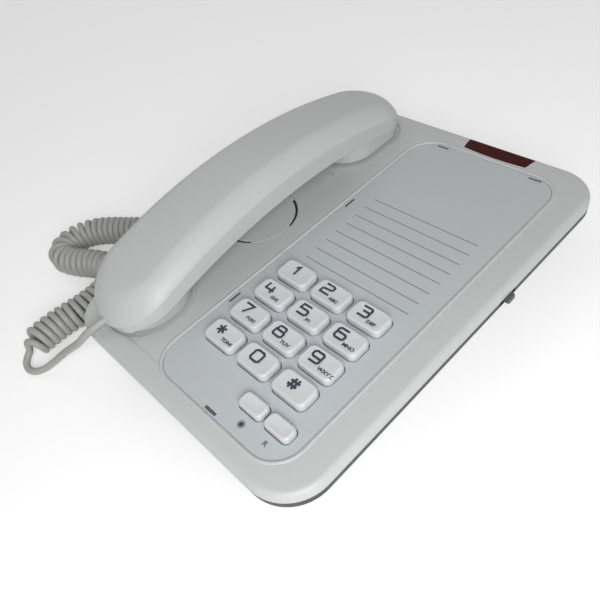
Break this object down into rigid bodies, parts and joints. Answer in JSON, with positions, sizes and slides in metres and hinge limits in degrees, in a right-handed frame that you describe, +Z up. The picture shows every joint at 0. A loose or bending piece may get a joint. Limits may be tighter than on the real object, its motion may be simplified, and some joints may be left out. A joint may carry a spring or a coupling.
{
  "type": "corded desk telephone",
  "caption": "Corded desk telephone with a dial keypad, a message lamp and a lift-off handset in its cradle on a curly cord.",
  "frame": {"origin": "on the table, under the middle of the base", "axes": "+X to the right of the person dialling, +Y to the rear, +Z up"},
  "size_m": [0.2552, 0.2478, 0.0692],
  "materials": {
    "cover_plastic": "fine moulded texture, off-white",
    "faceplate_plastic": "satin, cool grey-white",
    "key_plastic": "smooth, off-white",
    "tub_plastic": "fine texture, charcoal",
    "dark_plastic": "satin black",
    "lamp_red": "dark translucent red",
    "led_red": "clear red",
    "rubber": "matt",
    "board": "green laminate",
    "steel": "plain",
    "speaker_metal": "plain",
    "plug_plastic": "clear moulded",
    "cord_jacket": "smooth, off-white"
  },
  "bodies": {
    "base": {"base_top_cover": "cover_plastic", "base_bottom_cover": "tub_plastic", "faceplate": "faceplate_plastic", "keypad_mat": "rubber", "main_circuit_board": "board", "cradle_disc": "cover_plastic", "ringer_speaker": "dark_plastic", "message_lamp_lens": "lamp_red", "message_lamp_led": "led_red", "hook_switch": "dark_plastic", "line_jack": "dark_plastic", "base_cord_jack": "dark_plastic", "ringer_switch_body": "dark_plastic", "rubber_feet": "rubber", "base_screws": "steel", "cord_plug_base": "plug_plastic", "cord_tail_handset": "cord_jacket", "cord_coil": "cord_jacket", "cord_tail_base": "cord_jacket"},
    "handset": {"handset_upper_shell": "cover_plastic", "handset_lower_shell": "cover_plastic", "receiver_capsule": "dark_plastic", "microphone_capsule": "speaker_metal", "handset_weight": "steel", "handset_jack": "dark_plastic", "cord_plug_handset": "plug_plastic"},
    "key_1": {"key_1": "key_plastic"},
    "key_2": {"key_2": "key_plastic"},
    "key_3": {"key_3": "key_plastic"},
    "key_4": {"key_4": "key_plastic"},
    "key_5": {"key_5": "key_plastic"},
    "key_6": {"key_6": "key_plastic"},
    "key_7": {"key_7": "key_plastic"},
    "key_8": {"key_8": "key_plastic"},
    "key_9": {"key_9": "key_plastic"},
    "key_star": {"key_star": "key_plastic"},
    "key_0": {"key_0": "key_plastic"},
    "key_hash": {"key_hash": "key_plastic"},
    "key_redial": {"key_redial": "key_plastic"},
    "key_flash": {"key_flash": "key_plastic"},
    "hook_plunger": {"hook_plunger": "cover_plastic"},
    "handset_hook_tab": {"handset_hook_tab": "cover_plastic"},
    "ringer_switch_knob": {"ringer_switch_knob": "dark_plastic"}
  },
  "joints": [
    {"name": "handset_lift", "type": "slide", "parent": "base", "child": "handset", "axis": [0, 0, 1], "range_m": [0, 0.12], "deforming": ["cord_tail_handset", "cord_coil"]},
    {"name": "key_1_press", "type": "slide", "parent": "base", "child": "key_1", "axis": [0, 0, -1], "range_m": [0, 0.0015], "stiffness_N_per_m": 300, "springref_m": -0.001},
    {"name": "key_2_press", "type": "slide", "parent": "base", "child": "key_2", "axis": [0, 0, -1], "range_m": [0, 0.0015], "stiffness_N_per_m": 300, "springref_m": -0.001},
    {"name": "key_3_press", "type": "slide", "parent": "base", "child": "key_3", "axis": [0, 0, -1], "range_m": [0, 0.0015], "stiffness_N_per_m": 300, "springref_m": -0.001},
    {"name": "key_4_press", "type": "slide", "parent": "base", "child": "key_4", "axis": [0, 0, -1], "range_m": [0, 0.0015], "stiffness_N_per_m": 300, "springref_m": -0.001},
    {"name": "key_5_press", "type": "slide", "parent": "base", "child": "key_5", "axis": [0, 0, -1], "range_m": [0, 0.0015], "stiffness_N_per_m": 300, "springref_m": -0.001},
    {"name": "key_6_press", "type": "slide", "parent": "base", "child": "key_6", "axis": [0, 0, -1], "range_m": [0, 0.0015], "stiffness_N_per_m": 300, "springref_m": -0.001},
    {"name": "key_7_press", "type": "slide", "parent": "base", "child": "key_7", "axis": [0, 0, -1], "range_m": [0, 0.0015], "stiffness_N_per_m": 300, "springref_m": -0.001},
    {"name": "key_8_press", "type": "slide", "parent": "base", "child": "key_8", "axis": [0, 0, -1], "range_m": [0, 0.0015], "stiffness_N_per_m": 300, "springref_m": -0.001},
    {"name": "key_9_press", "type": "slide", "parent": "base", "child": "key_9", "axis": [0, 0, -1], "range_m": [0, 0.0015], "stiffness_N_per_m": 300, "springref_m": -0.001},
    {"name": "key_star_press", "type": "slide", "parent": "base", "child": "key_star", "axis": [0, 0, -1], "range_m": [0, 0.0015], "stiffness_N_per_m": 300, "springref_m": -0.001},
    {"name": "key_0_press", "type": "slide", "parent": "base", "child": "key_0", "axis": [0, 0, -1], "range_m": [0, 0.0015], "stiffness_N_per_m": 300, "springref_m": -0.001},
    {"name": "key_hash_press", "type": "slide", "parent": "base", "child": "key_hash", "axis": [0, 0, -1], "range_m": [0, 0.0015], "stiffness_N_per_m": 300, "springref_m": -0.001},
    {"name": "key_redial_press", "type": "slide", "parent": "base", "child": "key_redial", "axis": [0, 0, -1], "range_m": [0, 0.0015], "stiffness_N_per_m": 300, "springref_m": -0.001},
    {"name": "key_flash_press", "type": "slide", "parent": "base", "child": "key_flash", "axis": [0, 0, -1], "range_m": [0, 0.0015], "stiffness_N_per_m": 300, "springref_m": -0.001},
    {"name": "hook_plunger_rise", "type": "slide", "parent": "base", "child": "hook_plunger", "axis": [0, 0, 1], "range_m": [0, 0.005]},
    {"name": "hook_tab_pull", "type": "slide", "parent": "base", "child": "handset_hook_tab", "axis": [0, 0, 1], "range_m": [0, 0.006]},
    {"name": "ringer_switch_slide", "type": "slide", "parent": "base", "child": "ringer_switch_knob", "axis": [0, 1, 0], "range_m": [-0.003, 0.003]}
  ],
  "couplings": [
    {"joint": "hook_plunger_rise", "follows": "handset_lift", "ratio": 0.041667}
  ]
}
